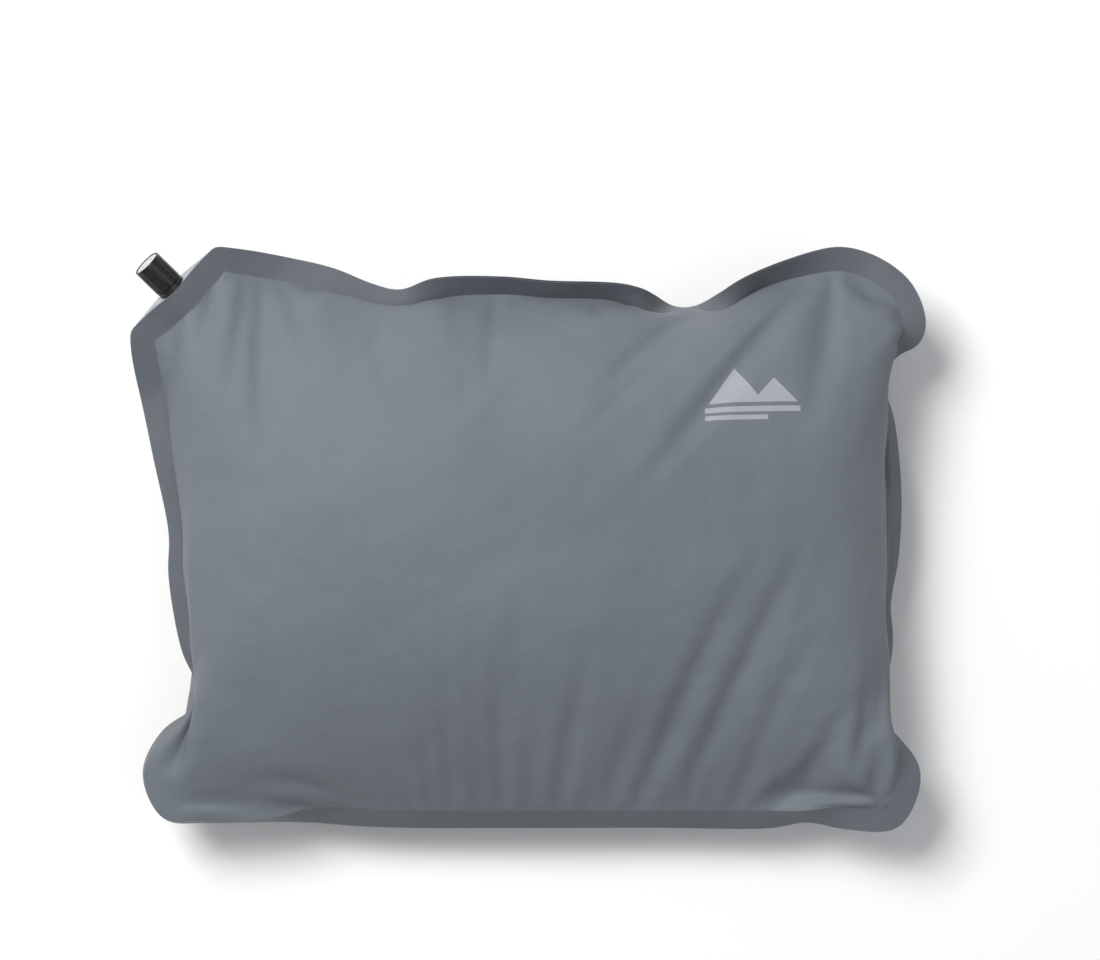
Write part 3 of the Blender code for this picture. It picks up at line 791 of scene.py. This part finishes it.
def fabric(name, with_print):
    """Matt coated plain weave: fine threads, faint creasing, painted shade on the welded rim, and a printed mark
    on the front.
    """
    made, nodes, links = material(name)
    shader = nodes["Principled BSDF"]
    pattern = nodes.new("ShaderNodeUVMap")
    pattern.uv_map = "pattern"
    place = pattern.outputs["UV"]
    split = nodes.new("ShaderNodeSeparateXYZ")
    links.new(place, split.inputs[0])
    turn = math.tau / THREAD_SPACING
    warp = maths(nodes, links, "SINE", maths(nodes, links, "MULTIPLY", split.outputs[0], turn), 0)
    weft = maths(nodes, links, "SINE", maths(nodes, links, "MULTIPLY", split.outputs[1], turn), 0)
    weave = maths(nodes, links, "MULTIPLY", warp, weft)
    broad = noise(nodes, links, place, 9, 3)
    dents = noise(nodes, links, place, 17, 2, 0.45)
    medium = noise(nodes, links, place, 42, 5, 0.6)
    fine = noise(nodes, links, place, 1500, 2)
    base = mixed(nodes, links, spread(nodes, links, broad, 0.35, 0.65, 0, 1), CLOTH_DARK, CLOTH_LIGHT)
    base = mixed(nodes, links, spread(nodes, links, fine, 0.3, 0.7, 0, 0.25), base, CLOTH_DUST)
    # Painted shade: the welded rim is darkened towards the shade colour, standing in for the shade it lies in
    # beside the dome
    rim = nodes.new("ShaderNodeAttribute")
    rim.attribute_name = "rim"
    fused = maths(nodes, links, "MULTIPLY", rim.outputs["Fac"], RIM_PAINTED_SHADE_SHARE)
    base = mixed(nodes, links, fused, base, RIM_PAINTED_SHADE)
    if with_print:
        mark = printed(nodes, links, split.outputs[0], split.outputs[1])
        worn = spread(nodes, links, fine, 0.2, 0.8, 0.9, 1.0)
        base = mixed(nodes, links, maths(nodes, links, "MULTIPLY", mark, worn), base, PRINT_COLOUR)
    links.new(base, shader.inputs["Base Color"])
    links.new(spread(nodes, links, medium, 0.3, 0.7, 0.5, 0.62), shader.inputs["Roughness"])
    shader.inputs["Sheen Weight"].default_value = 0.12
    shader.inputs["Sheen Roughness"].default_value = 0.4
    shader.inputs["Specular IOR Level"].default_value = 0.35
    normal = bump(nodes, links, dents, DENT_DEPTH)
    normal = bump(nodes, links, medium, CREASE_DEPTH, normal)
    normal = bump(nodes, links, weave, THREAD_DEPTH, normal)
    links.new(normal, shader.inputs["Normal"])
    return made


def plain(name, colour, roughness, speck, **values):
    """A moulded or poured finish with faint unevenness in its colour, gloss and skin."""
    made, nodes, links = material(name)
    shader = nodes["Principled BSDF"]
    place = nodes.new("ShaderNodeTexCoord").outputs["Object"]
    coarse = noise(nodes, links, place, 120, 3)
    fine = noise(nodes, links, place, 2600, 2)
    darker = tuple(c * 0.8 for c in colour[:3]) + (1,)
    links.new(mixed(nodes, links, coarse, darker, colour), shader.inputs["Base Color"])
    rough = spread(nodes, links, fine, 0.3, 0.7, roughness - 0.06, roughness + 0.06)
    links.new(rough, shader.inputs["Roughness"])
    links.new(bump(nodes, links, fine, speck), shader.inputs["Normal"])
    for socket, value in values.items():
        shader.inputs[socket.replace("_", " ")].default_value = value
    return made


NEAREST = int(np.argmin(np.linalg.norm(FRONT[:, :2] - PRINT_AT, axis=1) + 9.0 * HELD))
PRINT_PLACE = [float(x) for x in FLAT[NEAREST, :2]]

black = plain("black_plastic", (0.012, 0.012, 0.013, 1), 0.26, 0.00001)
natural = plain("natural_plastic", (0.62, 0.62, 0.60, 1), 0.4, 0.00001)
rubber = plain("black_rubber", (0.02, 0.02, 0.02, 1), 0.6, 0.00002)
soft = {"Transmission_Weight": 0.35, "IOR": 1.45, "Subsurface_Weight": 0.1}
clear = plain("clear_soft_plastic", (0.82, 0.84, 0.86, 1), 0.28, 0.00001, **soft)
fused = plain("fused_film", (0.13, 0.15, 0.17, 1), 0.5, 0.00001)
spongy = plain("open_cell_foam", (0.72, 0.66, 0.45, 1), 0.9, 0.0003)
LOOKS = {
    "coated_fabric": fabric("coated_fabric", False),
    "black_plastic": black,
    "natural_plastic": natural,
    "black_rubber": rubber,
    "clear_soft_plastic": clear,
    "fused_film": fused,
    "open_cell_foam": spongy,
}
for piece in (back, foam, film, knob, seal):
    piece.data.materials.append(LOOKS[piece["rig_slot"]])
front.data.materials.append(fabric("printed_fabric", True))
SLOTS = {row["node"]: row["material_slot"] for row in frame["record"]["subparts"]}
for name, piece in frame["nodes"].items():
    for index in range(len(piece.data.materials)):
        piece.data.materials[index] = LOOKS[SLOTS[name]]
    if not piece.hide_render:
        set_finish(piece, SLOTS[name])

# ---- Camera, lights and floor ----
camera = linked("camera", bpy.data.cameras.new("camera"))
camera.data.lens = 100
camera.data.sensor_width = 36
camera.location = (0.0102, 0.0302, 1.602)
bpy.context.scene.camera = camera

AIM = (0, 0, 0.04)


def add_area(name, place, size, power, colour):
    """A square light that points at the middle of the pillow."""
    light = bpy.data.lights.new(name, "AREA")
    light.size = size
    light.energy = power
    light.color = colour
    item = linked(name, light)
    item.location = place
    item.rotation_euler = (Vector(AIM) - Vector(place)).to_track_quat("-Z", "Y").to_euler()


add_area("key", (-1.2, 1.3, 2.3), 1.3, 84, (1, 0.99, 0.97))
add_area("fill", (1.4, -0.5, 1.8), 1.6, 6, (0.96, 0.98, 1))

world = bpy.data.worlds.new("world")
world.use_nodes = True
world.node_tree.nodes["Background"].inputs["Color"].default_value = (0.95, 0.97, 1, 1)
world.node_tree.nodes["Background"].inputs["Strength"].default_value = 0.37
bpy.context.scene.world = world
bpy.context.scene.view_settings.view_transform = "Standard"

floor_mesh = bpy.data.meshes.new("floor")
FAR = 3  # from the middle of the floor to its sides
CORNERS = [(-FAR, -FAR, 0), (FAR, -FAR, 0), (FAR, FAR, 0), (-FAR, FAR, 0)]
floor_mesh.from_pydata(CORNERS, [], [(0, 1, 2, 3)])
floor = linked("floor", floor_mesh)
floor_look, floor_nodes, floor_links = material("studio_paper")
floor_nodes["Principled BSDF"].inputs["Base Color"].default_value = (0.93, 0.93, 0.93, 1)
floor_nodes["Principled BSDF"].inputs["Roughness"].default_value = 0.9
floor_mesh.materials.append(floor_look)
